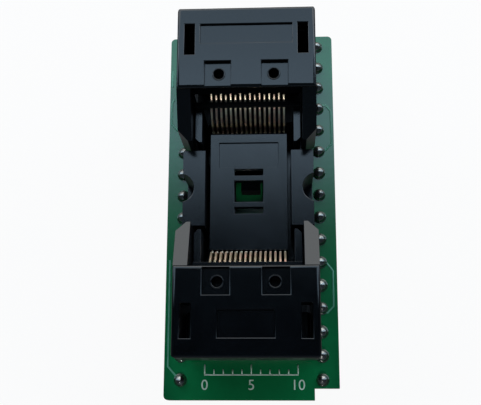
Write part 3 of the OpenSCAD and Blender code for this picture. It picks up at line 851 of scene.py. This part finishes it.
class SetStage(bpy.types.Operator):
    """Sets the floor, the light and the camera"""

    bl_idname = "adapter.set_stage"
    bl_label = "Stage"

    def execute(self, context):
        stage = context.scene.adapter_stage
        context.scene.view_settings.view_transform = "Standard"
        self.lay_floor()
        self.light(context.scene, stage)
        self.place_camera(context.scene, stage)
        return {"FINISHED"}

    def lay_floor(self):
        """A pale floor that looks white from the camera and keeps the shadow."""
        reach, glow_share, mirrored_glow = 3.0, 0.93, 0.1
        bm = bmesh.new()
        bmesh.ops.create_grid(bm, x_segments=1, y_segments=1, size=reach)
        mesh = bpy.data.meshes.new("floor")
        bm.to_mesh(mesh)
        bm.free()
        floor = bpy.data.objects.new("floor", mesh)
        bpy.context.collection.objects.link(floor)
        material = bpy.data.materials.new("pale_floor")
        material.use_nodes = True
        tree = material.node_tree
        shader = tree.nodes["Principled BSDF"]
        shader.inputs["Base Color"].default_value = (0.8, 0.8, 0.8, 1)
        shader.inputs["Roughness"].default_value = 0.9
        glow = tree.nodes.new("ShaderNodeEmission")
        path = tree.nodes.new("ShaderNodeLightPath")
        mirrored = path.outputs["Is Glossy Ray"]
        seen = math_node(tree, "MAXIMUM", self.seen_straight(tree, path), mirrored)
        share = math_node(tree, "MULTIPLY", seen, glow_share)
        tree.links.new(remap(tree, mirrored, 0.0, 1.0, 1.0, mirrored_glow), glow.inputs["Strength"])
        mix = tree.nodes.new("ShaderNodeMixShader")
        tree.links.new(share, mix.inputs["Fac"])
        tree.links.new(shader.outputs["BSDF"], mix.inputs[1])
        tree.links.new(glow.outputs["Emission"], mix.inputs[2])
        tree.links.new(mix.outputs["Shader"], tree.nodes["Material Output"].inputs["Surface"])
        mesh.materials.append(material)

    def seen_straight(self, tree, path):
        """1 for a ray from the camera, also through something clear."""
        return math_node(tree, "MAXIMUM", path.outputs["Is Camera Ray"], path.outputs["Is Transmission Ray"])

    def light(self, scene, stage):
        """A sky, soft lamps behind and beside the object, and narrow ones for the places the caps shade."""
        self.spread_sky(scene, stage)
        self.hang_lamp("soft_key", (0.01, 0.13, 0.095), (0.16, 0.10), stage.key_power)
        for side in (-1, 1):
            self.hang_lamp("soft_side", (side * 0.045, 0.04, 0.045), (0.02, 0.02), stage.side_power)
        window = Vector((0, SOCKET_Y, PLATFORM_HIGH.z))
        self.aim_spot(
            "window_spot", window, Vector(stage.camera) - window, stage.window_power,
            distance=0.26, degrees=0.84, radius=0.0005, flatten=0.6)
        back_row = Vector((0, SOCKET_Y + 9.2 * MM, BOARD_HIGH.z + 10.1 * MM))
        self.aim_spot(
            "back_row_spot", back_row, (-0.055, -0.667, 0.742), stage.back_row_power,
            distance=0.22, degrees=3.0, radius=0.0005, flatten=0.22)
        front_row = Vector((0, SOCKET_Y - 7.3 * MM, BOARD_HIGH.z + 9 * MM))
        self.aim_spot(
            "front_row_spot", front_row, (0, 0.94, 0.34), stage.front_row_power,
            distance=0.3, degrees=2.0, radius=0.001, flatten=0.6)
        strip = Vector((0, BOARD_LOW.y + 2 * MM, BOARD_HIGH.z))
        self.aim_spot(
            "strip_spot", strip, (0, -0.7, 0.7), stage.strip_power, distance=0.25, degrees=4.6, radius=0.001)

    def spread_sky(self, scene, stage):
        """A sky that is bright in a band behind the object, and dim overhead and in front."""
        band_start, band_full, fall_start, fall_end = 0.215, 0.32, 0.35, 0.43
        fill_start, fill_full, front_start, front_full = -0.05, -0.3, -0.8, -0.96
        pale_start, pale_full = 0.5, 0.85
        cool, pale = (0.72, 1.0, 1.28), (0.92, 1.0, 1.04)
        world = bpy.data.worlds.new("studio")
        world.use_nodes = True
        scene.world = world
        tree = world.node_tree
        place = tree.nodes.new("ShaderNodeTexCoord")
        axes = tree.nodes.new("ShaderNodeSeparateXYZ")
        tree.links.new(place.outputs["Generated"], axes.inputs["Vector"])
        northing = axes.outputs["Y"]
        behind = math_node(
            tree, "SUBTRACT", self.ease(tree, northing, band_start, band_full, stage.sky_low, stage.sky_high),
            self.ease(tree, northing, fall_start, fall_end, 0.0, stage.sky_fall))
        ahead = math_node(
            tree, "ADD", self.ease(tree, northing, fill_start, fill_full, 0.0, stage.sky_fill),
            self.ease(tree, northing, front_start, front_full, 0.0, stage.sky_front))
        low_behind = self.ease(tree, northing, pale_start, pale_full, 0.0, 1.0)
        sky = tree.nodes["Background"]
        tree.links.new(blend_colours(tree, low_behind, cool, pale), sky.inputs["Color"])
        tree.links.new(math_node(tree, "ADD", behind, ahead), sky.inputs["Strength"])
        self.whiten_background(tree, sky)

    def whiten_background(self, tree, sky):
        """Lets the camera see plain white where it looks past the floor."""
        white = tree.nodes.new("ShaderNodeBackground")
        white.inputs["Color"].default_value = (1, 1, 1, 1)
        path = tree.nodes.new("ShaderNodeLightPath")
        mix = tree.nodes.new("ShaderNodeMixShader")
        tree.links.new(self.seen_straight(tree, path), mix.inputs["Fac"])
        tree.links.new(sky.outputs["Background"], mix.inputs[1])
        tree.links.new(white.outputs["Background"], mix.inputs[2])
        tree.links.new(mix.outputs["Shader"], tree.nodes["World Output"].inputs["Surface"])

    def ease(self, tree, value, start, end, low, high):
        """A value that eases from low to high between two limits."""
        node = tree.nodes.new("ShaderNodeMapRange")
        node.interpolation_type = "SMOOTHSTEP"
        for label, number in (("From Min", start), ("From Max", end), ("To Min", low), ("To Max", high)):
            node.inputs[label].default_value = number
        tree.links.new(value, node.inputs["Value"])
        return node.outputs["Result"]

    def hang_lamp(self, name, place, size, power):
        """A rectangular lamp that faces the object."""
        data = bpy.data.lights.new(name, "AREA")
        data.shape = "RECTANGLE"
        data.size, data.size_y = size
        data.energy = power
        lamp = bpy.data.objects.new(name, data)
        lamp.location = place
        towards = Vector((0, 0, BOARD_HIGH.z)) - lamp.location
        lamp.rotation_euler = towards.to_track_quat("-Z", "Y").to_euler()
        bpy.context.collection.objects.link(lamp)

    def aim_spot(self, name, target, direction, power, distance, degrees, radius, flatten=1.0):
        """A narrow lamp that lights a small place from one direction, with a beam that can be flattened."""
        data = bpy.data.lights.new(name, "SPOT")
        data.energy = power
        data.spot_size, data.spot_blend = math.radians(degrees), 0.5
        data.shadow_soft_size = radius
        lamp = bpy.data.objects.new(name, data)
        outward = Vector(direction).normalized()
        lamp.location = target + outward * distance
        lamp.rotation_euler = (-outward).to_track_quat("-Z", "Y").to_euler()
        lamp.scale = (1, flatten, 1)
        bpy.context.collection.objects.link(lamp)

    def place_camera(self, scene, stage):
        data = bpy.data.cameras.new("camera")
        data.sensor_width = 36.0
        data.lens = stage.lens
        data.clip_start, data.clip_end = 0.001, 10.0
        camera = bpy.data.objects.new("camera", data)
        eye, target = Vector(stage.camera), Vector(stage.target)
        ahead = (target - eye).normalized()
        right = ahead.cross(Vector((0, 1, 0))).normalized()
        up = right.cross(ahead)
        axes = Matrix((right, up, -ahead)).transposed() @ Matrix.Rotation(stage.roll, 3, "Z")
        camera.matrix_world = Matrix.Translation(eye) @ axes.to_4x4()
        bpy.context.collection.objects.link(camera)
        scene.camera = camera


class AdapterPanel(bpy.types.Panel):
    """Lists the steps and the settings"""

    bl_idname = "VIEW3D_PT_adapter"
    bl_label = "Programming adapter"
    bl_space_type = "VIEW_3D"
    bl_region_type = "UI"
    bl_category = "Adapter"

    def draw(self, context):
        for step in STEPS:
            self.layout.operator(step.bl_idname)
        scene = context.scene
        for settings in (scene.adapter_sizes, scene.adapter_colours, scene.adapter_stage):
            box = self.layout.box()
            for name in settings.__annotations__:
                box.prop(settings, name)


STEPS = (DressBoard, SolderPins, MouldSocket, MouldCaps, StampContacts, WindSprings, SetStage)
CLASSES = (AdapterSizes, AdapterColours, AdapterStage, *STEPS, AdapterPanel)


def register():
    for cls in CLASSES:
        bpy.utils.register_class(cls)
    bpy.types.Scene.adapter_sizes = PointerProperty(type=AdapterSizes)
    bpy.types.Scene.adapter_colours = PointerProperty(type=AdapterColours)
    bpy.types.Scene.adapter_stage = PointerProperty(type=AdapterStage)


def unregister():
    del bpy.types.Scene.adapter_stage
    del bpy.types.Scene.adapter_colours
    del bpy.types.Scene.adapter_sizes
    for cls in reversed(CLASSES):
        bpy.utils.unregister_class(cls)


def main():
    register()
    bpy.ops.adapter.dress_board()
    bpy.ops.adapter.solder_pins()
    bpy.ops.adapter.mould_socket()
    bpy.ops.adapter.mould_caps()
    bpy.ops.adapter.stamp_contacts()
    bpy.ops.adapter.wind_springs()
    bpy.ops.adapter.set_stage()


if __name__ == "__main__":
    main()
